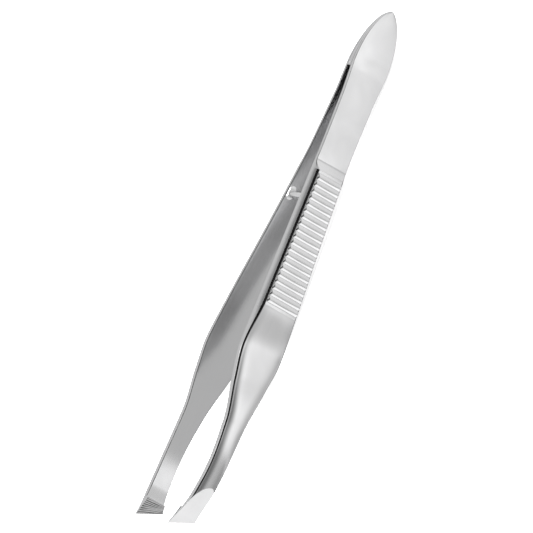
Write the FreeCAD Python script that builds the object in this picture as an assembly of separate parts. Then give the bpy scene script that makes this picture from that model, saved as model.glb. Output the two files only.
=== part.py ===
import FreeCAD, Part
import math
import os

# Slant tweezers, lying on the edges of their arms.
# +X runs from the tail to the slanted tips, Y is the direction in which the arms open
# and Z is across the width of the arms. All lengths are in millimetres.

# ---- lengths along an arm, from the tail ----
heel_length = 11.5          # joined stretch, where the spacer fills the gap
heel_taper = 10.5           # leaf-shaped end, from its point to its widest place
strip_narrowing = 6.5       # from the heel's widest place to the strip's own width
spring_length = 16.9        # thin stretch that flexes
waist_before = 2.2          # the strip is narrowest this far before its end
ramp_length = 1.6           # step up to the thick grip
grip_length = 24.9          # ribbed finger grip
belly_length = 13.2         # smooth swell, widest at belly_rise
belly_rise = 7.3
belly_settle = 6.0          # where the grip's shape has changed to the belly's
neck_length = 23.4          # from the end of the belly to the back of the tip's pad
pad_approach = 2.6          # the neck begins to turn inwards this far before the pad
tip_reach = 3.6             # from the back of the pad to the long corner
past_tip_length = 0.5       # the curves run on this far, so that the tip can be ground back

# ---- widths and thicknesses ----
heel_width = 8.0
leaf_offset = 0.7           # each side of the leaf is part of an ellipse centred this far beyond
strip_width = 7.0
strip_flare = 0.1           # extra half width where the strip meets the heel and the ramp
grip_front_width = 8.9
belly_width = 9.25
belly_end_upper = 3.7       # half widths at the end of the belly, above and below the centre line
belly_end_lower = 3.7
neck_width = 3.7
neck_start_upper = 0.3      # extra half widths a third of the way along the neck
neck_start_lower = 0.55
neck_lower_extra = 0.07
neck_end_upper = 0.3        # and where it begins to turn inwards
neck_end_lower = -0.1
tip_slope_up = 0.27         # how fast the tip widens
tip_slope_down = 0.17
strip_thickness = 0.58
tail_thickness = 0.22       # the heel is ground thin towards its point
grip_thickness = 1.52
belly_thickness = 1.22
neck_thickness = 1.27
grip_flank = 0.6            # upright part of the grip's sides, below their slope
belly_flank = 0.75
neck_flank = 0.86
edge_bevel = 0.16           # bevel along the spring
heel_bevel = 0.15           # and round the heel, which is thinner at its point

# ---- the gap between the arms, each value from the middle plane to an inner face ----
tail_gap = 0.06
crotch_gap = 0.38
spring_swell = 0.25         # how much the gap has opened a third of the way along the spring
spring_gap = 1.27
grip_gap = 3.55
belly_gap = 4.1
neck_gap = 5.6
neck_start_closer = 0.42    # how much less the gap is before and after the neck's widest place
neck_end_closer = 0.36
pad_gap = 4.88
pad_closing = 0.5           # and how much it has closed past the tip

# ---- ribs ----
rib_count = 20
rib_pitch = 1.185
rib_radius = 0.46
rib_height = 0.2
first_rib = 1.13            # from the top of the ramp to the first crest

# ---- slanted tip ----
tip_long_side = 3.52        # from the arm's centre line to the long corner
tip_short_side = 2.04       # and to the short corner
slant_angle = 21.6          # of the tip's edge, from square across
pad_height = 0.44
pad_inward = 2.0            # degrees by which the pad's face leans towards the other arm
facet_angle = 17.0          # outer ground face, from the pad's face
edge_thickness = 0.14

# ---- guide pin ----
pin_place = 6.6             # from the end of the spring
pin_side = 2.75             # from the arm's centre line
pin_diameter = 1.2
pin_seat_depth = 0.45
pin_end_round = 0.36
pin_entry = 0.15            # how far its end stands in the slot at rest
slot_clearance = 0.12
slot_travel = 0.55          # room on each side for the pin as the arms close
slot_offset = 0.25          # the slot's middle stands towards the tail, where the pin swings

# ---- heel ----
weld_radius = 0.3
weld_proud = 0.08
weld_back = 0.5             # from the spacer's front end to the bead's centre

# ---- places that follow ----
spring_end = heel_length + spring_length
grip_start = spring_end + ramp_length
belly_start = grip_start + grip_length
belly_peak = belly_start + belly_rise
neck_start = belly_start + belly_length
pad_start = neck_start + neck_length
overall_length = pad_start + tip_reach
neck_early = neck_start + 0.32 * neck_length
neck_widest_gap = neck_start + 0.62 * neck_length
neck_turn = pad_start - pad_approach
past_tip = overall_length + past_tip_length
centre_height = belly_width / 2
REACH = 40.0                # size of the solids that trim a face, larger than any arm section

Vec = FreeCAD.Vector


def smooth_through(points):
    """A curve through the points that never swings past them: a function of x."""
    steps = [(b[0] - a[0], (b[1] - a[1]) / (b[0] - a[0])) for a, b in zip(points, points[1:])]
    slopes = [steps[0][1]]
    for (h0, d0), (h1, d1) in zip(steps, steps[1:]):
        turns_back = d0 * d1 <= 0
        w0, w1 = 2 * h1 + h0, h1 + 2 * h0
        slopes.append(0.0 if turns_back else (w0 + w1) / (w0 / d0 + w1 / d1))
    slopes.append(steps[-1][1])

    def value(x):
        last = len(steps) - 1
        i = 0
        while i < last and x > points[i + 1][0]:
            i += 1
        h = steps[i][0]
        t = (x - points[i][0]) / h
        y0, y1 = points[i][1], points[i + 1][1]
        return (y0 * (1 + 2 * t) * (1 - t) ** 2 + h * slopes[i] * t * (1 - t) ** 2
                + y1 * t * t * (3 - 2 * t) + h * slopes[i + 1] * t * t * (t - 1))

    return value


# Inner face of the arm, from the middle plane
inner_face = smooth_through([
    (heel_length, crotch_gap),
    (heel_length + 0.3 * spring_length, crotch_gap + spring_swell),
    (spring_end, spring_gap),
    (grip_start + 0.5 * grip_length, 0.5 * (spring_gap + grip_gap)),
    (belly_start, grip_gap),
    (belly_peak, belly_gap),
    (neck_start + 0.3 * neck_length, neck_gap - neck_start_closer),
    (neck_widest_gap, neck_gap),
    (neck_turn, neck_gap - neck_end_closer),
    (pad_start, pad_gap),
    (past_tip, pad_gap - pad_closing),
])

# Upper and lower edges of the arm's outline, from its centre line
common_edge = [
    (heel_taper, heel_width / 2),
    (heel_taper + strip_narrowing, strip_width / 2 + strip_flare),
    (spring_end - waist_before, strip_width / 2),
    (grip_start, strip_width / 2 + strip_flare),
    (grip_start + 0.5 * grip_length, 0.25 * (strip_width + grip_front_width)),
    (belly_start, grip_front_width / 2),
    (belly_peak, belly_width / 2),
]
upper_edge = smooth_through(common_edge + [
    (neck_start, belly_end_upper),
    (neck_early, neck_width / 2 + neck_start_upper),
    (neck_widest_gap, neck_width / 2),
    (neck_turn, neck_width / 2 + neck_end_upper),
    (pad_start, tip_long_side - tip_slope_up * tip_reach),
    (past_tip, tip_long_side + tip_slope_up * past_tip_length),
])
tip_run = (tip_long_side + tip_short_side) * math.tan(math.radians(slant_angle))
short_corner = overall_length - tip_run
lower_edge = smooth_through(common_edge + [
    (neck_start, belly_end_lower),
    (neck_early, neck_width / 2 + neck_start_lower),
    (neck_widest_gap, neck_width / 2 + neck_lower_extra),
    (neck_turn, neck_width / 2 + neck_end_lower),
    (pad_start, tip_short_side - tip_slope_down * (short_corner - pad_start)),
    (past_tip, tip_short_side + tip_slope_down * (past_tip - short_corner)),
])

# Section of the thick front, at a few places: how high the flank stands, where the sloped side
# ends (height, then distance in from the edge), where the outer face begins (distance in),
# how far the outer face is crowned, and the whole thickness
section_shape = [
    (grip_start, grip_flank, 1.22, 0.5, 0.88, 0.04, grip_thickness),
    (belly_start, grip_flank, 1.22, 0.5, 0.88, 0.05, grip_thickness),
    (belly_start + belly_settle, belly_flank, 0.98, 0.1, 0.42, 0.1, belly_thickness),
    (belly_peak, belly_flank, 1.0, 0.1, 0.42, 0.14, belly_thickness),
    (neck_start + 0.4 * neck_length, neck_flank, 1.05, 0.14, 0.52, 0.26, neck_thickness),
    (past_tip, neck_flank, 1.05, 0.14, 0.52, 0.26, neck_thickness),
]


def shape_value(column):
    return smooth_through([(row[0], row[column]) for row in section_shape])


flank, side_height, side_in, land_in, crown, thickness = [shape_value(i) for i in range(1, 7)]


def outer_face(x):
    return inner_face(x) + thickness(x)


def land_height(x):
    return outer_face(x) - crown(x)


def ring(x, corners):
    """Closed outline through the corners (y, z), in the plane square across the arm at x."""
    points = [Vec(x, y, z) for y, z in corners]
    return [Part.makeLine(a, b) for a, b in zip(points, points[1:] + points[:1])], points


def section(x, inner):
    """One closed section of the thick front; its inner face may stand in, as at the tip's pad."""
    top, bottom = upper_edge(x), -lower_edge(x)
    base = inner_face(x)
    profile = [(inner, 0), (base + flank(x), 0), (base + side_height(x), side_in(x)),
               (land_height(x), land_in(x))]
    corners = [(y, top - inset) for y, inset in profile]
    corners += [(y, bottom + inset) for y, inset in reversed(profile)]
    edges, points = ring(x, corners)
    peak = Vec(x, outer_face(x), (top + bottom) / 2)
    edges[3] = Part.Arc(points[3], peak, points[4]).toShape()
    return Part.Wire(edges)


def strip_section(x):
    """Section of the thin strip, with the same corners in the same order."""
    top, bottom = upper_edge(x), -lower_edge(x)
    base = inner_face(x)
    face = base + strip_thickness
    half = edge_bevel / 2
    profile = [(base, 0), (face - edge_bevel, 0), (face - half, half), (face, edge_bevel)]
    corners = [(y, top - inset) for y, inset in profile]
    corners += [(y, bottom + inset) for y, inset in reversed(profile)]
    return Part.Wire(ring(x, corners)[0])


def beyond_plane(point, normal):
    """A block on the far side of a plane, for trimming."""
    block = Part.makeBox(2 * REACH, 2 * REACH, REACH, Vec(-REACH, -REACH, 0))
    block.Placement = FreeCAD.Placement(point, FreeCAD.Rotation(Vec(0, 0, 1), normal))
    return block


def heel_wire(inset, tail_level, end_level):
    """Outline of the heel: a pointed leaf with elliptical sides, then a square end.

    It is set in from the heel's edge, and lies on a plane that slopes along the heel.
    """
    half = heel_width / 2 - inset
    back = heel_taper - inset
    rise = half + leaf_offset
    run = back / math.sqrt(1 - (leaf_offset / rise) ** 2)
    ellipse = Part.Ellipse(Vec(heel_taper, -leaf_offset, 0), run, rise)
    upper = Part.ArcOfEllipse(ellipse, math.pi / 2, math.acos(-back / run)).toShape()
    upper.rotate(Vec(0, 0, 0), Vec(1, 0, 0), 90)
    lower = upper.mirror(Vec(0, 0, 0), Vec(0, 0, 1))
    end_half = upper_edge(heel_length) - inset
    wide_top, wide_bottom = Vec(heel_taper, 0, half), Vec(heel_taper, 0, -half)
    end_top, end_bottom = Vec(heel_length, 0, end_half), Vec(heel_length, 0, -end_half)
    edges = [upper, lower,
             Part.makeLine(wide_top, end_top),
             Part.makeLine(end_top, end_bottom),
             Part.makeLine(end_bottom, wide_bottom)]
    wire = Part.Wire(Part.__sortEdges__(edges))
    slope = FreeCAD.Matrix()
    slope.A21 = (end_level - tail_level) / heel_length
    slope.A24 = tail_level
    return wire.transformGeometry(slope)


def make_heel():
    tail_face, end_face = tail_gap + tail_thickness, crotch_gap + strip_thickness
    wires = [heel_wire(0, tail_gap, crotch_gap),
             heel_wire(0, tail_face - heel_bevel, end_face - heel_bevel),
             heel_wire(heel_bevel, tail_face, end_face)]
    return Part.makeLoft(wires, True, True)


def make_spacer():
    wires = [heel_wire(0, -tail_gap, -crotch_gap), heel_wire(0, tail_gap, crotch_gap)]
    return Part.makeLoft(wires, True, True)


def make_spring():
    count = 12
    wires = [strip_section(heel_length + spring_length * i / count) for i in range(count + 1)]
    return Part.makeLoft(wires, True, False)


def make_ribs():
    bars = []
    for i in range(rib_count):
        x = grip_start + first_rib + i * rib_pitch
        top = upper_edge(x) - land_in(x)
        centre_y = land_height(x) + rib_height - rib_radius
        bars.append(Part.makeCylinder(rib_radius, 2 * top, Vec(x, centre_y, -top), Vec(0, 0, 1)))
    return bars


def trim_tip(body):
    """Grind the slanted edge and the outer facet that runs down to it."""
    slant = math.radians(slant_angle)
    lean = math.radians(pad_inward)
    facet = math.radians(facet_angle - pad_inward)
    forward = Vec(math.cos(slant), 0, -math.sin(slant))
    pad_y = inner_face(pad_start) - pad_height
    corner = Vec(overall_length, pad_y - tip_reach * math.tan(lean), tip_long_side)
    body = body.cut(beyond_plane(corner, forward))
    edge = corner + Vec(0, edge_thickness, 0)
    outward = forward * math.sin(facet + 2 * lean) + Vec(0, math.cos(facet + 2 * lean), 0)
    return body.cut(beyond_plane(edge, outward))


def make_front():
    """Grip, belly, neck and tip of the near arm, without its pin seat."""
    ramp = Part.makeLoft([strip_section(spring_end), section(grip_start, inner_face(grip_start))],
                         True, True)
    count = 40
    run = pad_start - grip_start
    places = [grip_start + run * i / count for i in range(count + 1)]
    body = Part.makeLoft([section(x, inner_face(x)) for x in places], True, False)
    pad_y = inner_face(pad_start) - pad_height
    slope = math.tan(math.radians(pad_inward))
    tip_places = [pad_start, pad_start + 0.5 * tip_reach, past_tip]
    tip = Part.makeLoft([section(x, pad_y - slope * (x - pad_start)) for x in tip_places], True, True)
    front = body.multiFuse([ramp, tip] + make_ribs())
    return trim_tip(front).Solids[0]


def pin_axis():
    """Where the pin's axis meets the near arm's inner face, and its way towards the far arm."""
    x = spring_end + pin_place
    slope = math.atan(inner_face(x + 0.5) - inner_face(x - 0.5))
    return Vec(x, inner_face(x), pin_side), Vec(math.sin(slope), -math.cos(slope), 0)


def make_pin():
    """The guide pin stands square on the near arm, and its end reaches into the far arm's slot."""
    seat, inward = pin_axis()
    radius = pin_diameter / 2
    end = seat + inward * (2 * seat.y + pin_entry)
    foot = seat - inward * pin_seat_depth
    shank = Part.makeCylinder(radius, (end - foot).Length, foot, inward)
    rim = [e for e in shank.Edges if (e.CenterOfMass - end).Length < 0.01]
    return shank.makeFillet(pin_end_round, rim)


def make_pin_seat():
    """Blind bore in the near arm that the pin is pressed into."""
    seat, inward = pin_axis()
    return Part.makeCylinder(pin_diameter / 2, pin_seat_depth + 1, seat - inward * pin_seat_depth, inward)


def make_slot():
    """Slot through the far arm, with room for the pin to slide and tilt."""
    seat, inward = pin_axis()
    middle = seat + inward * (2 * seat.y)
    half_width = pin_diameter / 2 + slot_clearance
    depth = grip_thickness + 4
    start = Vec(middle.x - slot_offset, middle.y + 1, pin_side)
    ends = [Part.makeCylinder(half_width, depth, start + Vec(dx, 0, 0), Vec(0, -1, 0))
            for dx in (-slot_travel, slot_travel)]
    block = Part.makeBox(2 * slot_travel, depth, 2 * half_width,
                         start + Vec(-slot_travel, -depth, -half_width))
    return block.multiFuse(ends)


def make_weld():
    """Small bead on the upper edge of the heel, where the gap begins."""
    x = heel_length - weld_back
    return Part.makeSphere(weld_radius, Vec(x, 0, upper_edge(x) - weld_radius + weld_proud))


def mirrored(shape):
    return shape.mirror(Vec(0, 0, 0), Vec(0, 1, 0))


def build():
    heel, spring, front = make_heel(), make_spring(), make_front()
    spacer, weld = make_spacer(), make_weld()
    pin = make_pin()
    heel_far, spring_far = mirrored(heel), mirrored(spring)
    front_far = mirrored(front).cut(make_slot())
    front = front.cut(make_pin_seat())
    spacer = spacer.cut(weld)
    parts = {
        "near_arm_heel": heel, "near_arm_spring": spring, "near_arm_front": front,
        "far_arm_heel": heel_far, "far_arm_spring": spring_far, "far_arm_front": front_far,
        "heel_spacer": spacer, "heel_weld": weld, "guide_pin": pin,
    }
    os.makedirs("parts", exist_ok=True)
    for name, shape in parts.items():
        placed = shape.copy()
        placed.translate(Vec(-overall_length / 2, 0, centre_height))
        placed.exportStep("parts/" + name + ".step")
        box = placed.BoundBox
        print(name, placed.ShapeType, len(placed.Solids), placed.isValid(), round(placed.Volume, 3),
              [round(v, 3) for v in (box.XMin, box.XMax, box.YMin, box.YMax, box.ZMin, box.ZMax)])


build()
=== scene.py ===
import math

import bmesh
import bpy
from mathutils import Matrix, Vector


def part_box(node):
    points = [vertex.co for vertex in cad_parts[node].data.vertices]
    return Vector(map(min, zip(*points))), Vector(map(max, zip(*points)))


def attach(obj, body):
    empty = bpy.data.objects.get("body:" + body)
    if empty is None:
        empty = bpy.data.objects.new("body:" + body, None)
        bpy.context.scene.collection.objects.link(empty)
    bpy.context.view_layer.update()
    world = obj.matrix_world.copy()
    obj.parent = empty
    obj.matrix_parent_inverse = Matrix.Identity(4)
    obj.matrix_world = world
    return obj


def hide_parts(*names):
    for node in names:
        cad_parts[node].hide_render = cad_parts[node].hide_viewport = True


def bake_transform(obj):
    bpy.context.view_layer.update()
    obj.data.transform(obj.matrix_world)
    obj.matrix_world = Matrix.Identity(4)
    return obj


# Slant tweezers. Lengths are in metres, in the model's own frame: +X from the tail to the tips,
# Y the way the arms open, +Z across the arms, which lie on their lower edges at Z = 0.

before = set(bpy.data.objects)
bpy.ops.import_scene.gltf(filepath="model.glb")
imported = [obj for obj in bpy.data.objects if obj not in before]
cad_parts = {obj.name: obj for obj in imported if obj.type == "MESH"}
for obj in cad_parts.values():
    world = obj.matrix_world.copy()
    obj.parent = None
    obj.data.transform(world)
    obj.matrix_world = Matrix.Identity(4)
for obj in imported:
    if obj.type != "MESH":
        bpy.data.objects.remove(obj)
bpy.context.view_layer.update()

MM = 0.001

# ---- places read from the frame ----
heel_low, heel_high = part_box("near_arm_heel")
spring_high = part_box("near_arm_spring")[1]
weld_low, weld_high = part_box("heel_weld")
tail_x = heel_low.x
heel_end = heel_high.x
spring_end = spring_high.x
centre_z = (heel_low.z + heel_high.z) / 2

# ---- arm: lengths, from the tail ----
heel_taper = tail_x + 10.5 * MM
ramp_start = spring_end - 0.2 * MM
grip_start = spring_end + 1.6 * MM
grip_length = 24.9 * MM
grip_middle = grip_start + 0.5 * grip_length
belly_start = grip_start + grip_length
belly_peak = belly_start + 7.3 * MM
neck_start = belly_start + 13.2 * MM
neck_length = 23.4 * MM
neck_middle = neck_start + 0.4 * neck_length
neck_waist = neck_start + 0.62 * neck_length
pad_start = neck_start + neck_length
pad_back = pad_start - 2.6 * MM
tip_reach = 3.595 * MM
tip_end = pad_start + tip_reach
past_tip = tip_end + 0.5 * MM       # the curves run on a little past the edge

# ---- arm: widths, thicknesses and edges ----
heel_width = 8.0 * MM
leaf_offset = 0.7 * MM      # cut from both sides of an ellipse, which brings the leaf to a point
strip_thickness = 0.58 * MM
tail_thickness = 0.22 * MM
tail_gap = 0.06 * MM
crotch_gap = 0.38 * MM
bevel_height = 0.085 * MM   # fine bevel along the edges of the inner face
bevel_inset = 0.105 * MM
edge_rounding = 0.02 * MM
narrow_below = 2.5 * MM     # a half width below which the corners' insets shrink with it

# ---- ribs ----
rib_count = 20
rib_pitch = 1.185 * MM
first_rib = grip_start + 1.13 * MM
rib_crest = 1.72 * MM       # height of the crests above the arm's inner face
rib_end_upper = 0.86 * MM   # from the arm's upper edge to the rounded end of a rib
rib_end_lower = 0.66 * MM   # and from its lower edge
rib_end_length = 0.24 * MM  # over which a rib's end rises
rib_fullness = 0.62         # power of the rib wave: below 1 makes crests broad and valleys narrow

# ---- slanted tip ----
tip_long_side = 3.52 * MM
slant = math.radians(21.6)
pad_height = 0.44 * MM
pad_step = 0.06 * MM        # over which the pad rises from the inner face
pad_inward = math.radians(2.0)
facet_angle = math.radians(17.0)
edge_thickness = 0.14 * MM
file_line_pitch = 0.52 * MM
file_line_depth = 0.05 * MM
file_line_crowding = 1.12   # above 1 draws the file lines together away from the edge
file_line_wander = 0.9      # how far a file line strays, as a share of the pitch

# ---- guide pin and its slot ----
pin_radius = 0.6 * MM
pin_place = spring_end + 6.6 * MM
pin_side = 2.75 * MM
pin_entry = 0.15 * MM
slot_half_width = 0.72 * MM
slot_travel = 0.55 * MM
slot_offset = 0.25 * MM
slot_cut_inside = 1.0 * MM  # how far the cutter reaches inwards and outwards from the inner face
slot_cut_outside = 3.0 * MM


# ======== curves that give the arm its shape ========

def smooth_through(points):
    """A curve through the points that never swings past them, as a function of x."""
    steps = [(b[0] - a[0], (b[1] - a[1]) / (b[0] - a[0])) for a, b in zip(points, points[1:])]
    slopes = [steps[0][1]]
    for (h0, d0), (h1, d1) in zip(steps, steps[1:]):
        w0, w1 = 2 * h1 + h0, h1 + 2 * h0
        slopes.append(0.0 if d0 * d1 <= 0 else (w0 + w1) / (w0 / d0 + w1 / d1))
    slopes.append(steps[-1][1])

    def value(x):
        i = 0
        while i < len(steps) - 1 and x > points[i + 1][0]:
            i += 1
        h = steps[i][0]
        t = (x - points[i][0]) / h
        y0, y1 = points[i][1], points[i + 1][1]
        return (y0 * (1 + 2 * t) * (1 - t) ** 2 + h * slopes[i] * t * (1 - t) ** 2
                + y1 * t * t * (3 - 2 * t) + h * slopes[i + 1] * t * t * (t - 1))

    return value


def mm_curve(rows):
    """The same for rows of (x in metres, value in millimetres)."""
    return smooth_through([(x, value * MM) for x, value in rows])


def smooth_step(t):
    """0 below 0, 1 above 1, and a soft rise between."""
    t = min(1.0, max(0.0, t))
    return t * t * (3 - 2 * t)


front_gap = mm_curve([
    (heel_end, 0.38), (heel_end + 5.07 * MM, 0.63), (spring_end, 1.27), (grip_middle, 2.41),
    (belly_start, 3.55), (belly_peak, 4.1), (neck_start + 0.3 * neck_length, 5.18),
    (neck_waist, 5.6), (pad_back, 5.24), (pad_start, 4.88), (past_tip, 4.38),
])


def inner_face(x):
    """Distance of the arm's inner face from the middle plane. It is straight along the heel."""
    if x <= heel_end:
        return tail_gap + (crotch_gap - tail_gap) * (x - tail_x) / (heel_end - tail_x)
    return front_gap(x)


def arm_outline(neck_start_side, neck_side, waist_side, pad_back_side, pad_side, tip_side):
    """Half width of the arm along its length, on one side of the centre line."""
    return mm_curve([
        (heel_taper, 4.0), (heel_taper + 6.5 * MM, 3.6), (spring_end - 2.2 * MM, 3.5),
        (grip_start, 3.6), (grip_middle, 3.975), (belly_start, 4.45), (belly_peak, 4.625),
        (neck_start, neck_start_side), (neck_start + 0.32 * neck_length, neck_side),
        (neck_waist, waist_side), (pad_back, pad_back_side), (pad_start, pad_side),
        (past_tip, tip_side),
    ])


upper_outline = arm_outline(3.7, 2.15, 1.85, 2.15, 2.548, 3.655)
lower_outline = arm_outline(3.7, 2.4, 1.92, 1.75, 1.802, 2.499)


def half_width(outline, x):
    """The outline, closed in to a leaf's point along the heel."""
    if x >= heel_taper:
        return outline(x)
    rise = heel_width / 2 + leaf_offset
    share = (heel_taper - x) / (heel_taper - tail_x) * math.sqrt(1 - (leaf_offset / rise) ** 2)
    return max(0.0, rise * math.sqrt(1 - share * share) - leaf_offset)


def section_curve(strip, grip, belly, neck):
    """A measure of the arm's section along its length, from its values in mm at four places."""
    front = mm_curve([
        (grip_start, grip), (belly_start - 0.3 * MM, grip),
        (belly_start + 0.1 * MM, grip + 0.04 * (belly - grip)), (belly_peak, belly),
        (neck_middle, neck), (past_tip, neck),
    ])

    def value(x):
        if x >= grip_start:
            return front(x)
        climbed = max(0.0, (x - ramp_start) / (grip_start - ramp_start))
        return (strip + (grip - strip) * climbed ** 2) * MM

    return value


# The section's corners, from the inner face to the outer one: a top is a corner's height above the
# inner face, an inset is how far in from the arm's edge it stands, and a rounding is its size.
# face_edge is the height of the last corner, and face_crown how much the face rises above it.
flank_top = section_curve(0.49, 0.60, 0.68, 0.76)
side_top = section_curve(0.53, 1.18, 0.80, 0.83)
side_inset = section_curve(0.015, 0.46, 0.06, 0.05)
shoulder_top = section_curve(0.565, 1.44, 0.96, 0.96)
shoulder_inset = section_curve(0.05, 0.78, 0.26, 0.21)
face_edge = section_curve(0.58, 1.46, 1.00, 1.01)
face_inset = section_curve(0.12, 0.98, 0.36, 0.34)
face_crown = section_curve(0.09, 0.07, 0.19, 0.235)
side_rounding = section_curve(0.02, 0.05, 0.04, 0.03)
shoulder_rounding = section_curve(0.03, 0.05, 0.06, 0.06)
face_rounding = section_curve(0.15, 0.20, 0.42, 0.40)

# The outer face is crowned: a parabola at power 2, flatter in the middle at higher ones
crown_power = smooth_through([
    (belly_start, 2.0), (belly_peak, 5.0), (neck_middle, 2.4), (past_tip, 2.4),
])


def heel_share(x):
    """The heel is ground thin towards its point: the share of the strip's thickness left at x."""
    if x >= heel_end:
        return 1.0
    t = (x - tail_x) / (heel_end - tail_x)
    return (tail_thickness + (strip_thickness - tail_thickness) * t) / strip_thickness


def pad_face(x):
    """Distance of the pad's face from the middle plane, as inner_face gives for the arm."""
    return inner_face(pad_start) - pad_height - math.tan(pad_inward) * (x - pad_start)


# Outer facet: a plane that rises from the slanted edge towards the grip
facet_corner = Vector((tip_end, pad_face(tip_end) + edge_thickness, tip_long_side))
facet_forward = Vector((math.cos(slant), 0, -math.sin(slant)))
facet_rise = math.tan(facet_angle + pad_inward)


def facet_height(x, z):
    """Distance of the outer facet from the middle plane. Steel that stands above it is ground off."""
    behind = facet_forward.dot(facet_corner - Vector((x, 0, z)))
    return facet_corner.y + behind * facet_rise


# ======== arm mesh ========

# How many faces of the mesh cross each stretch of the section
INNER_STEPS = 14
FACE_STEPS = 24
SIDE_STEPS = 2
CORNER_STEPS = 4


def corner_points(before, corner, after, size):
    """A rounded corner: from a point on one side of it to a point on the other."""
    a, b = before - corner, after - corner
    cut = min(size, 0.45 * a.length, 0.45 * b.length)
    start, end = corner + a.normalized() * cut, corner + b.normalized() * cut
    points = []
    for i in range(CORNER_STEPS + 1):
        t = i / CORNER_STEPS
        points.append(start * (1 - t) ** 2 + corner * (2 * t * (1 - t)) + end * t * t)
    return points


def straight_points(start, end, steps):
    """The points between two ends, without the ends."""
    return [start.lerp(end, i / steps) for i in range(1, steps)]


def section_points(x):
    """The arm's section at x as (height above the inner face, z) pairs, always in the same order."""
    share = heel_share(x)
    top, bottom = half_width(upper_outline, x), -half_width(lower_outline, x)
    narrow = min(1.0, top / narrow_below)
    profile = [(0.0, bevel_inset * narrow), (bevel_height * share, 0.0),
               (flank_top(x) * share, 0.0),
               (side_top(x) * share, side_inset(x) * narrow),
               (shoulder_top(x) * share, shoulder_inset(x) * narrow),
               (face_edge(x) * share, face_inset(x) * narrow)]
    upper = [Vector((h, top - inset)) for h, inset in profile]
    lower = [Vector((h, bottom + inset)) for h, inset in profile]
    corners = [lower[0]] + upper + lower[:0:-1]
    upper_rounding = [edge_rounding, edge_rounding, side_rounding(x), side_rounding(x),
                      shoulder_rounding(x), face_rounding(x)]
    rounding = [edge_rounding] + upper_rounding + upper_rounding[:0:-1]
    sides = [SIDE_STEPS] * (len(profile) - 1)
    steps = [INNER_STEPS] + sides + [FACE_STEPS] + sides
    count = len(corners)
    rounded = [corner_points(corners[i - 1], corners[i], corners[(i + 1) % count], rounding[i])
               for i in range(count)]
    power = crown_power(max(x, belly_start))
    points = []
    for i in range(count):
        points += rounded[i]
        start, end = rounded[i][-1], rounded[(i + 1) % count][0]
        between = straight_points(start, end, steps[i])
        if steps[i] == FACE_STEPS:
            for k, p in enumerate(between, 1):
                across = 2 * k / FACE_STEPS - 1
                p.x += face_crown(x) * share * (1 - abs(across) ** power)
        points += between
    return points


def leaf_places(count):
    """Places along the leaf's point, closer together towards the tail."""
    first = 0.35        # the first stands a little in from the point itself
    return [tail_x + (heel_taper - tail_x) * (1 - math.cos(0.5 * math.pi * (i + first) / count))
            for i in range(count)]


def ring_places():
    """Where the arm's rings stand: close together where the shape changes quickly."""
    stretches = [(heel_taper, heel_end, 0.25), (heel_end, ramp_start, 0.35),
                 (ramp_start, grip_start, 0.06), (grip_start, belly_start, 0.075),
                 (belly_start, neck_waist, 0.3), (neck_waist, pad_start - pad_step, 0.11)]
    places = leaf_places(40)
    for start, end, spacing in stretches:
        steps = max(1, round((end - start) / (spacing * MM)))
        places += [start + (end - start) * i / steps for i in range(steps)]
    places += [pad_start - pad_step, pad_start - pad_step / 2]
    steps = round(tip_reach / (0.04 * MM))
    return places + [pad_start + tip_reach * i / steps for i in range(steps + 1)]


def inner_side(index):
    """Whether a point of the section lies on the inner face."""
    return index <= 2 * CORNER_STEPS + INNER_STEPS


def tip_point(ring, turned, side):
    """Where a point of a section stands once the section is turned towards the slanted edge.

    The width there depends on x and x on the width, so the two are worked out in turn.
    """
    x, z = ring, side
    for _ in range(3):
        x = ring - (tip_long_side - z) * math.tan(slant) * turned
        outline = upper_outline if side > 0 else lower_outline
        z = side * half_width(outline, x) / half_width(outline, ring)
    return x, z


def ring_faces(rings, size):
    """Faces that join rings of points one after another, and the cap on the first ring."""
    faces = []
    for ring in range(rings - 1):
        a, b = ring * size, (ring + 1) * size
        for i in range(size):
            j = (i + 1) % size
            faces.append((a + i, a + j, b + j, b + i))
    faces.append(tuple(reversed(range(size))))
    return faces


def last_cap(rings, size):
    return tuple((rings - 1) * size + i for i in range(size))


def arm_surface():
    """Points, faces and finish marks of the near arm, before its ribs are raised."""
    points, rib_rise, facet_mark, pad_mark, file_place = [], [], [], [], []
    places = ring_places()
    for ring in places:
        profile = section_points(ring)
        turned = min(1.0, max(0.0, (ring - pad_start) / tip_reach))
        in_pad = smooth_step((ring - pad_start + pad_step) / pad_step)
        for index, (height, side) in enumerate(profile):
            x, z = tip_point(ring, turned, side) if turned > 0 else (ring, side)
            inner = inner_face(x)
            y = inner + height
            on_inner = inner_side(index)
            if on_inner:
                y -= (inner - pad_face(x)) * in_pad
            ceiling = facet_height(x, z)
            ground = y > ceiling
            if ground:
                y = ceiling
            crest = inner + rib_crest
            from_top = half_width(upper_outline, x) - z - rib_end_upper
            from_bottom = z + half_width(lower_outline, x) - rib_end_lower
            end_share = math.sqrt(smooth_step(min(from_top, from_bottom) / rib_end_length))
            rises = not on_inner and grip_start < ring < belly_start
            points.append(Vector((x, y, z + centre_z)))
            rib_rise.append(max(0.0, crest - y) * end_share if rises else 0.0)
            facet_mark.append(1.0 if ground else 0.0)
            pad_mark.append(in_pad if on_inner else 0.0)
            file_place.append(tip_end - ring)
    size = len(points) // len(places)
    faces = ring_faces(len(places), size) + [last_cap(len(places), size)]
    marks = {"rib_rise": rib_rise, "facet": facet_mark, "pad": pad_mark, "file_place": file_place}
    return points, faces, marks


def outward(mesh):
    """Makes a mesh's faces agree on which side is out."""
    shape = bmesh.new()
    shape.from_mesh(mesh)
    bmesh.ops.recalc_face_normals(shape, faces=shape.faces)
    shape.to_mesh(mesh)
    shape.free()


def shade_smooth(mesh):
    for polygon in mesh.polygons:
        polygon.use_smooth = True


def new_object(name, mesh):
    made = bpy.data.objects.new(name, mesh)
    bpy.context.scene.collection.objects.link(made)
    return made


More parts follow.
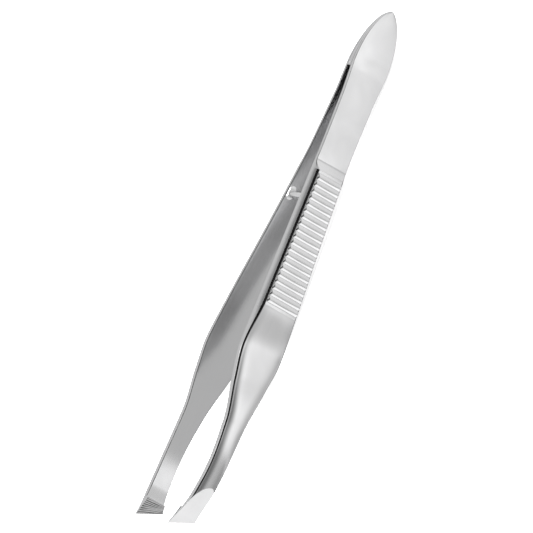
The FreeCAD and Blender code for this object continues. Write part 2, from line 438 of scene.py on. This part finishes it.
def mesh_object(name, points, faces, marks=None, smooth=True):
    mesh = bpy.data.meshes.new(name)
    mesh.from_pydata(points, [], faces)
    for mark, values in (marks or {}).items():
        mesh.attributes.new(mark, "FLOAT", "POINT").data.foreach_set("value", values)
    outward(mesh)
    if smooth:
        shade_smooth(mesh)
    return new_object(name, mesh)


# ======== node helpers ========

class Nodes:
    """A short way to add nodes to a tree and join their sockets."""

    def __init__(self, tree):
        self.tree = tree

    def add(self, kind, inputs=None, **settings):
        node = self.tree.nodes.new(kind)
        for name, value in settings.items():
            setattr(node, name, value)
        for key, value in (inputs or {}).items():
            self.put(node, key, value)
        return node

    def put(self, node, key, value):
        socket = node.inputs[key]
        if isinstance(value, bpy.types.NodeSocket):
            self.tree.links.new(value, socket)
        else:
            socket.default_value = value

    def math(self, operation, *values, clamp=False):
        node = self.add("ShaderNodeMath", operation=operation, use_clamp=clamp)
        for i, value in enumerate(values):
            self.put(node, i, value)
        return node.outputs[0]

    def mix_colours(self, share, first, second, **settings):
        """Mix has sockets of one name for each kind of value; its colours are numbers 6 and 7."""
        inputs = {0: share, 6: first, 7: second}
        return self.add("ShaderNodeMix", inputs, data_type="RGBA", **settings).outputs[2]

    def mix_values(self, share, first, second):
        """The same for plain numbers, which are sockets 2 and 3."""
        inputs = {0: share, 2: first, 3: second}
        return self.add("ShaderNodeMix", inputs, data_type="FLOAT").outputs[0]


# ======== materials ========

def steel(name, colour, roughness, grain, grain_bump, lines=None, grooves=None):
    """Steel with fine grain, soft smears, tiny dents and slightly duller worn edges.

    grain is the scale of the grain's noise along X, Y and Z, per metre: unequal scales draw it
    out. lines, if given, adds the straight marks of a file or a grinding wheel, as (turn about
    Y, lines per metre, depth). grooves, if given, names the mark that says where cut grooves
    are darkened towards near black: grinding residue held in them, and painted shade in the grooves.
    """
    material = bpy.data.materials.new(name)
    material.use_nodes = True
    tree = material.node_tree
    tree.nodes.clear()
    n = Nodes(tree)
    place = n.add("ShaderNodeTexCoord").outputs["Object"]
    drawn = n.add("ShaderNodeMapping", {"Vector": place, "Scale": grain}).outputs[0]
    fine = n.add("ShaderNodeTexNoise", {"Vector": drawn, "Scale": 1.0, "Detail": 6.0,
                                        "Roughness": 0.65}).outputs["Fac"]
    smear = n.add("ShaderNodeTexNoise", {"Vector": place, "Scale": 160.0, "Detail": 3.0,
                                         "Distortion": 0.6}).outputs["Fac"]
    dents = n.add("ShaderNodeTexNoise", {"Vector": place, "Scale": 900.0,
                                         "Detail": 2.0}).outputs["Fac"]
    marks = n.math("ADD", fine, n.math("MULTIPLY", dents, 0.25))
    if lines:
        turn, rate, depth = lines
        turned = n.add("ShaderNodeMapping", {"Vector": place, "Rotation": (0.0, turn, 0.0),
                                             "Scale": (rate, 0.02 * rate, 0.03 * rate)}).outputs[0]
        streak = n.add("ShaderNodeTexNoise", {"Vector": turned, "Scale": 1.0, "Detail": 3.0,
                                              "Roughness": 0.7}).outputs["Fac"]
        marks = n.math("ADD", marks, n.math("MULTIPLY", streak, depth))
    edge = n.add("ShaderNodeNewGeometry").outputs["Pointiness"]
    worn = n.add("ShaderNodeMapRange", {"Value": edge, "From Min": 0.52, "From Max": 0.62,
                                        "To Min": 0.0, "To Max": 0.06}).outputs[0]
    rough = n.add("ShaderNodeMapRange", {"Value": smear, "From Min": 0.3, "From Max": 0.7,
                                         "To Min": roughness * 0.82,
                                         "To Max": roughness * 1.2}).outputs[0]
    rough = n.math("ADD", rough, worn)
    rough = n.math("ADD", rough, n.math("MULTIPLY", fine, 0.05))
    tone = n.add("ShaderNodeMapRange", {"Value": fine, "From Min": 0.25, "From Max": 0.75,
                                        "To Min": 0.975, "To Max": 1.015}).outputs[0]
    base = n.mix_colours(1.0, (*colour, 1.0), tone, blend_type="MULTIPLY")
    # Darkens the cut grooves towards near black: grinding residue, and painted shade in the grooves.
    if grooves:
        dust_and_shade = n.add("ShaderNodeAttribute", attribute_name=grooves).outputs["Fac"]
        dust_and_shade = n.math("MULTIPLY", dust_and_shade, 1.3, clamp=True)
        base = n.mix_colours(dust_and_shade, base, (0.06, 0.06, 0.06, 1.0))
    bump = n.add("ShaderNodeBump", {"Height": marks, "Strength": grain_bump,
                                    "Distance": 0.00002}).outputs[0]
    shader = n.add("ShaderNodeBsdfPrincipled", {"Base Color": base,
                                                "Roughness": rough, "Normal": bump,
                                                "Metallic": 1.0})
    n.add("ShaderNodeOutputMaterial", {"Surface": shader.outputs[0]})
    return material


def floor_finish():
    """Pale light table: a smooth sheet that glows softly, with the faintest unevenness."""
    material = bpy.data.materials.new("light_table")
    material.use_nodes = True
    n = Nodes(material.node_tree)
    shader = material.node_tree.nodes["Principled BSDF"]
    place = n.add("ShaderNodeTexCoord").outputs["Object"]
    mottle = n.add("ShaderNodeTexNoise",
                   {"Vector": place, "Scale": 30.0, "Detail": 3.0}).outputs["Fac"]
    tone = n.add("ShaderNodeMapRange", {"Value": mottle, "To Min": 0.90, "To Max": 0.93}).outputs[0]
    pale = n.add("ShaderNodeCombineColor", {"Red": tone, "Green": tone, "Blue": tone}).outputs[0]
    n.put(shader, "Base Color", pale)
    n.put(shader, "Emission Color", pale)
    shader.inputs["Emission Strength"].default_value = 0.75
    shader.inputs["Roughness"].default_value = 0.9
    shader.inputs["Specular IOR Level"].default_value = 0.1
    return material


polished_steel = steel("polished_steel", (0.84, 0.84, 0.845), 0.15, (60.0, 2600.0, 2600.0), 0.05)
ground_steel = steel("ground_steel", (0.88, 0.88, 0.885), 0.30, (900.0, 900.0, 900.0), 0.3,
                     lines=(slant, 9000.0, 1.2))
# Its file grooves are darkened: grinding residue and painted shade.
filed_steel = steel("filed_steel", (0.84, 0.84, 0.845), 0.28, (900.0, 900.0, 900.0), 0.5,
                    lines=(slant, 7000.0, 2.0), grooves="file_groove")
turned_steel = steel("turned_steel", (0.93, 0.93, 0.935), 0.30, (900.0, 9000.0, 900.0), 0.3)
# Dark steel for the slot's cut walls: painted shade inside the slot.
slot_steel_painted_shade = steel("slot_steel_painted_shade", (0.22, 0.22, 0.225), 0.40, (900.0, 9000.0, 900.0), 0.4)
spacer_steel = steel("spacer_steel", (0.80, 0.80, 0.805), 0.27, (200.0, 3000.0, 200.0), 0.5)
weld_steel = steel("weld_steel", (0.97, 0.97, 0.97), 0.42, (2500.0, 2500.0, 2500.0), 0.8)


# ======== ribs and file lines, raised by Geometry Nodes ========

def grip_and_pad_tree():
    """Raises the grip's ribs and cuts the pad's file lines on an arm that carries its marks."""
    tree = bpy.data.node_groups.new("ribs_and_file_lines", "GeometryNodeTree")
    face = tree.interface
    face.new_socket("Arm", in_out="INPUT", socket_type="NodeSocketGeometry")
    for name in ("First Rib", "Rib Pitch", "Rib Count", "Line Pitch", "Line Depth", "Side"):
        face.new_socket(name, in_out="INPUT", socket_type="NodeSocketFloat")
    face.new_socket("Arm", in_out="OUTPUT", socket_type="NodeSocketGeometry")
    n = Nodes(tree)
    given = n.add("NodeGroupInput").outputs

    def mark(name):
        node = n.add("GeometryNodeInputNamedAttribute", {"Name": name}, data_type="FLOAT")
        return node.outputs["Attribute"]

    place = n.add("ShaderNodeSeparateXYZ",
                  {"Vector": n.add("GeometryNodeInputPosition").outputs[0]}).outputs
    along = n.math("DIVIDE", n.math("SUBTRACT", place["X"], given["First Rib"]), given["Rib Pitch"])
    wave = n.math("COSINE", n.math("MULTIPLY", along, 2 * math.pi))
    rounded = n.math("POWER", n.math("MULTIPLY_ADD", wave, 0.5, 0.5), rib_fullness)
    started = n.math("GREATER_THAN", along, -0.5)
    ended = n.math("LESS_THAN", along, n.math("SUBTRACT", given["Rib Count"], 0.5))
    rib = n.math("MULTIPLY", n.math("MULTIPLY", rounded, started), ended)
    rise = n.math("MULTIPLY", n.math("MULTIPLY", rib, mark("rib_rise")), given["Side"])
    raised = n.add("GeometryNodeSetPosition", {
        "Geometry": given["Arm"],
        "Offset": n.add("ShaderNodeCombineXYZ", {"Y": rise}).outputs[0]}).outputs[0]

    back = n.math("DIVIDE", mark("file_place"), given["Line Pitch"])
    spread = n.math("POWER", n.math("MAXIMUM", back, 0.0), file_line_crowding)
    waver_place = n.add("ShaderNodeCombineXYZ", {
        "X": n.math("MULTIPLY", back, 0.45),
        "Y": n.math("MULTIPLY", place["Z"], 300.0)}).outputs[0]
    wander = n.add("ShaderNodeTexNoise", {"Vector": waver_place, "Scale": 1.0,
                                          "Detail": 1.0}).outputs["Fac"]
    strayed = n.math("ADD", spread, n.math("MULTIPLY", wander, file_line_wander))
    phase = n.math("MULTIPLY", strayed, 2 * math.pi)
    groove = n.math("MULTIPLY_ADD", n.math("SINE", phase), 0.5, 0.5)
    faint = n.add("ShaderNodeMapRange", {"Value": wander, "From Min": 0.35, "From Max": 0.6,
                                         "To Min": 0.35}).outputs[0]
    groove = n.math("MULTIPLY", n.math("MULTIPLY", groove, faint), mark("pad"))
    marked = n.add("GeometryNodeStoreNamedAttribute", {"Geometry": raised, "Name": "file_groove",
                                                       "Value": groove},
                   data_type="FLOAT", domain="POINT").outputs[0]
    cut = n.math("MULTIPLY", n.math("MULTIPLY", groove, given["Line Depth"]), given["Side"])
    filed = n.add("GeometryNodeSetPosition", {
        "Geometry": marked,
        "Offset": n.add("ShaderNodeCombineXYZ", {"Y": cut}).outputs[0]}).outputs[0]

    real = n.add("GeometryNodeRealizeInstances", {"Geometry": filed}).outputs[0]
    finished = n.add("GeometryNodeSetMaterial",
                     {"Geometry": real, "Material": polished_steel}).outputs[0]
    for name, material in (("facet", ground_steel), ("pad", filed_steel)):
        chosen = n.math("GREATER_THAN", mark(name), 0.5)
        finished = n.add("GeometryNodeSetMaterial", {"Geometry": finished, "Selection": chosen,
                                                     "Material": material}).outputs[0]
    n.add("NodeGroupOutput", {"Arm": finished})
    return tree


def set_input(modifier, name, value):
    """Sets a node tree's input on its modifier, which knows it by its identifier."""
    for item in modifier.node_group.interface.items_tree:
        if item.item_type == "SOCKET" and item.in_out == "INPUT" and item.name == name:
            modifier[item.identifier] = value


def settled(piece):
    """The piece with its modifiers' result as a plain mesh."""
    depsgraph = bpy.context.evaluated_depsgraph_get()
    mesh = bpy.data.meshes.new_from_object(piece.evaluated_get(depsgraph))
    piece.modifiers.clear()
    piece.data = mesh
    return piece


def make_arm(name, side, tree):
    """One whole arm; side is 1 for the near arm and -1 for the far one."""
    points, faces, marks = arm_surface()
    points = [Vector((p.x, p.y * side, p.z)) for p in points]
    arm = mesh_object(name, points, faces, marks)
    modifier = arm.modifiers.new("ribs_and_file_lines", "NODES")
    modifier.node_group = tree
    sizes = {"First Rib": first_rib, "Rib Pitch": rib_pitch, "Rib Count": float(rib_count),
             "Line Pitch": file_line_pitch, "Line Depth": file_line_depth, "Side": float(side)}
    for size, value in sizes.items():
        set_input(modifier, size, value)
    return settled(arm)


# ======== guide pin and slot ========

def pin_axis():
    """Where the pin leaves the near arm's inner face, and its way towards the far arm."""
    step = 0.5 * MM
    slope = math.atan((inner_face(pin_place + step) - inner_face(pin_place - step)) / (2 * step))
    start = Vector((pin_place, inner_face(pin_place), centre_z + pin_side))
    return start, Vector((math.sin(slope), -math.cos(slope), 0))


def lathe(name, profile, start, axis, turns=64):
    """Solid of revolution; profile is (distance along the axis, radius) from end to end."""
    side = Vector((0, 0, 1))
    across = axis.cross(side)
    points = []
    for along, radius in profile:
        for i in range(turns):
            angle = 2 * math.pi * i / turns
            points.append(start + axis * along + side * (radius * math.cos(angle))
                          + across * (radius * math.sin(angle)))
    faces = ring_faces(len(profile), turns) + [last_cap(len(profile), turns)]
    return mesh_object(name, points, faces)


def make_pin():
    """Turned pin with a small swaged collar at its foot and a domed end."""
    start, axis = pin_axis()
    length = 2 * start.y + pin_entry
    dome = 0.36 * MM
    dome_steps = 8
    dome_turn = 0.5 * math.pi / (dome_steps + 0.6)      # stops short, so the end keeps a tiny flat
    foot = [(-0.3, 0.58), (-0.28, 0.6), (0.0, 0.6)]     # along the pin and out from its axis, in mm
    collar = [(0.01, 0.8), (0.07, 0.86), (0.16, 0.84), (0.21, 0.74), (0.24, 0.64)]
    profile = [(a * MM, r * MM) for a, r in foot + collar]
    profile += [(0.3 * MM, pin_radius), (0.5 * MM, pin_radius), (length - dome, pin_radius)]
    for i in range(1, dome_steps + 1):
        angle = i * dome_turn
        profile.append((length - dome + dome * math.sin(angle), pin_radius * math.cos(angle)))
    return lathe("guide_pin_turned", profile, start, axis)


def cut_slot(arm):
    """Cuts the pin's slot through the far arm."""
    start, axis = pin_axis()
    middle = start + axis * (2 * start.y) - Vector((slot_offset, 0, 0))
    end_steps = 24
    outline = []
    for centre, first in ((slot_travel, -0.5 * math.pi), (-slot_travel, 0.5 * math.pi)):
        for i in range(end_steps + 1):
            angle = first + math.pi * i / end_steps
            outline.append(Vector((middle.x + centre + slot_half_width * math.cos(angle), 0,
                                   middle.z + slot_half_width * math.sin(angle))))
    count = len(outline)
    levels = (middle.y + slot_cut_inside, middle.y - slot_cut_outside)
    points = [p + Vector((0, y, 0)) for y in levels for p in outline]
    faces = [(i, (i + 1) % count, count + (i + 1) % count, count + i) for i in range(count)]
    faces += [tuple(range(count)), tuple(reversed(range(count, 2 * count)))]
    cutter = mesh_object("slot_cutter", points, faces, smooth=False)
    # The cut walls take the dark steel: painted shade inside the slot.
    cutter.data.materials.append(slot_steel_painted_shade)
    modifier = arm.modifiers.new("slot", "BOOLEAN")
    modifier.operation = "DIFFERENCE"
    modifier.solver = "EXACT"
    modifier.object = cutter
    settled(arm)
    bpy.data.objects.remove(cutter)
    return arm


# ======== heel spacer and weld ========

def make_spacer():
    """Thin wedge between the heels, ground flush with them, its front end hollowed a little."""
    hollow = 0.25 * MM
    across = 24
    straight_steps = 6
    places = leaf_places(60)
    places += [heel_taper + (heel_end - heel_taper) * i / straight_steps
               for i in range(straight_steps + 1)]
    points = []
    for x in places:
        width = half_width(upper_outline, x)
        front_share = smooth_step((x - heel_taper) / (heel_end - heel_taper))
        ring = [(1 - 2 * i / across, 1) for i in range(across + 1)]
        ring += [(-1 + 2 * i / across, -1) for i in range(across + 1)]
        for z_share, side in ring:
            back = hollow * (1 - z_share * z_share) * front_share
            points.append(Vector((x - back, side * inner_face(x), centre_z + z_share * width)))
    size = 2 * (across + 1)
    faces = ring_faces(len(places), size)
    last = (len(places) - 1) * size
    for i in range(across):     # the hollow front end, in strips
        faces.append((last + i, last + i + 1, last + size - 2 - i, last + size - 1 - i))
    spacer = mesh_object("heel_spacer_ground", points, faces, smooth=False)
    spacer.data.materials.append(spacer_steel)
    return spacer


def make_weld():
    """Small bright bead with shallow dimples, where the gap begins."""
    centre = (weld_low + weld_high) / 2
    radius = (weld_high.x - weld_low.x) / 2
    dimple_depth = 0.05         # as a share of the radius
    shape = bmesh.new()
    bmesh.ops.create_icosphere(shape, subdivisions=5, radius=radius)
    for vertex in shape.verts:
        d = vertex.co.normalized()
        dimple = 0.5 + 0.5 * math.sin(7 * d.x + 2) * math.sin(6 * d.y + 1)
        vertex.co *= 1 - dimple_depth * dimple
    mesh = bpy.data.meshes.new("heel_weld_bead")
    shape.to_mesh(mesh)
    shape.free()
    mesh.transform(Matrix.Translation(centre))
    shade_smooth(mesh)
    mesh.materials.append(weld_steel)
    return new_object("heel_weld_bead", mesh)


# ======== the object ========

tree = grip_and_pad_tree()
near_arm = make_arm("near_arm_steel", 1, tree)
far_arm = cut_slot(make_arm("far_arm_steel", -1, tree))
for arm, body in ((near_arm, "near_arm"), (far_arm, "far_arm")):
    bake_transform(arm)
    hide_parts(body + "_heel", body + "_spring", body + "_front")

pin = make_pin()
pin.data.materials.append(turned_steel)
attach(pin, "near_arm")
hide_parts("guide_pin")

spacer = make_spacer()
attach(spacer, "heel")
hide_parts("heel_spacer")

weld = make_weld()
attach(weld, "heel")
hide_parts("heel_weld")


# ======== floor, light and camera ========

# Camera: its right, down and back directions, and the point it is centred on, found from where
# the tail shows in its view
view_right = Vector((-0.3994, 0.6065, -0.6869)).normalized()
view_down = Vector((0.9075, 0.1588, -0.3880)).normalized()
view_back = view_right.cross(-view_down).normalized()
view_height = 0.0896        # height of the view at the object, in metres
tail_point = Vector((tail_x + 0.197 * MM, 0, centre_z))
tail_across = 0.7350844278  # where that point stands in the view, as shares of its sides
tail_below = 0.0240150094
view_centre = (tail_point + view_right * view_height * (0.5 - tail_across)
               + view_down * view_height * (0.5 - tail_below))
camera_distance = 3.0
sensor_width = 36.0         # in millimetres, as is the lens


def make_camera():
    """A long lens far off, turned and centred as worked out above."""
    data = bpy.data.cameras.new("camera")
    data.sensor_width = sensor_width
    data.lens = sensor_width * camera_distance / view_height
    data.clip_start, data.clip_end = 0.05, 20.0
    camera = new_object("camera", data)
    right = (-view_down).cross(view_back).normalized()
    up = view_back.cross(right).normalized()
    turn = Matrix((right, up, view_back)).transposed().to_4x4()
    camera.matrix_world = Matrix.Translation(view_centre + view_back * camera_distance) @ turn
    bpy.context.scene.camera = camera


def make_floor():
    """A square sheet that the arms lie on. The steel doesn't mirror it."""
    reach = 3.0
    corners = [Vector((x * reach, y * reach, 0)) for x, y in ((-1, -1), (1, -1), (1, 1), (-1, 1))]
    floor = mesh_object("floor", corners, [(0, 1, 2, 3)], smooth=False)
    floor.data.materials.append(floor_finish())
    floor.visible_glossy = False


def softbox(name, place, size, power, in_reflections):
    """A soft square light that faces the object."""
    data = bpy.data.lights.new(name, "AREA")
    data.shape = "SQUARE"
    data.size = size
    data.energy = power
    lamp = new_object(name, data)
    direction = Vector(place).normalized()
    lamp.matrix_world = (Matrix.Translation(Vector(place))
                         @ direction.to_track_quat("Z", "Y").to_matrix().to_4x4())
    lamp.visible_glossy = in_reflections
    lamp.visible_camera = False


def make_studio():
    """The tent that the steel mirrors: pale and grey cards below, behind and overhead.

    Bearings and rises are in degrees, and brightnesses are shares of full white.
    """
    world = bpy.data.worlds.new("studio")
    bpy.context.scene.world = world
    world.use_nodes = True
    tree = world.node_tree
    tree.nodes.clear()
    n = Nodes(tree)
    way = n.add("ShaderNodeTexCoord").outputs["Generated"]
    axes = n.add("ShaderNodeSeparateXYZ", {"Vector": way}).outputs
    bearing = n.math("DEGREES", n.math("ARCTAN2", axes["X"], axes["Y"]))    # from +Y towards +X
    rise = n.math("DEGREES", n.math("ARCSINE", axes["Z"]))

    def ramp(value, start, end):
        """0 at start and beyond it, 1 at end, softly."""
        return n.add("ShaderNodeMapRange", {"Value": value, "From Min": start, "From Max": end},
                     interpolation_type="SMOOTHSTEP").outputs[0]

    def between(value, low, high, soft):
        """1 from low to high and 0 outside, with soft edges."""
        return n.math("MULTIPLY", ramp(value, low - soft, low + soft),
                      ramp(value, high + soft, high - soft))

    def around(direction, inner, outer):
        """1 within the inner angle of a direction, 0 beyond the outer one."""
        facing = n.add("ShaderNodeVectorMath", {0: way, 1: Vector(direction).normalized()},
                       operation="DOT_PRODUCT").outputs["Value"]
        return ramp(facing, math.cos(math.radians(outer)), math.cos(math.radians(inner)))

    # Below: cards that stand side by side, each laid over the ones before it, as
    # (brightness, bearing where it starts, bearing where it ends, softness of its edges)
    cards = ((0.46, 60, 171, 2), (0.48, -128, 40, 10), (0.66, -60, -14, 14),
             (0.90, -100, -36, 7), (1.31, -20.3, -14, 3.5), (0.55, -12.4, 22, 1.8))
    low = 0.20
    for bright, start, end, soft in cards:
        low = n.mix_values(between(bearing, start, end, soft), low, bright)
    near_level = n.mix_values(ramp(rise, -8, -34), 0.30, 1.0)   # darker near the horizon
    low = n.math("MULTIPLY", low, near_level)
    far_down = n.mix_values(ramp(rise, -30, -56), 1.0, 0.62)    # and darker again far down
    low = n.math("MULTIPLY", low, far_down)
    front_card = n.math("MULTIPLY", between(bearing, 20, 62, 4), ramp(rise, -14, -32))
    low = n.mix_values(front_card, low, 1.18)

    # Above: a grey roof with one bright card overhead
    high = n.mix_values(ramp(rise, 10, 34), 0.30, 0.60)
    high = n.mix_values(around((0.0, -0.17, 0.98), 5, 11), high, 2.4)
    tone = n.mix_values(ramp(rise, -6, 6), low, high)

    # A pale card behind, at the level of the object, and the dark opening round the camera
    behind = n.math("MULTIPLY", ramp(axes["Y"], 0.0, -0.35), between(rise, -20, 28, 6))
    tone = n.mix_values(behind, tone, 0.80)
    dark_way = view_back + Vector((-0.22, 0.02, 0.0))
    tone = n.mix_values(around(dark_way, 27, 31), tone, 0.004)
    background = n.add("ShaderNodeBackground", {"Color": n.add("ShaderNodeCombineColor", {
        "Red": tone, "Green": tone, "Blue": tone}).outputs[0], "Strength": 1.0})
    n.add("ShaderNodeOutputWorld", {"Surface": background.outputs[0]})


make_camera()
make_floor()
make_studio()
softbox("floor_light", place=(0.0, 0.5, 1.5), size=0.9, power=60.0, in_reflections=False)
bpy.context.scene.view_settings.view_transform = "Standard"
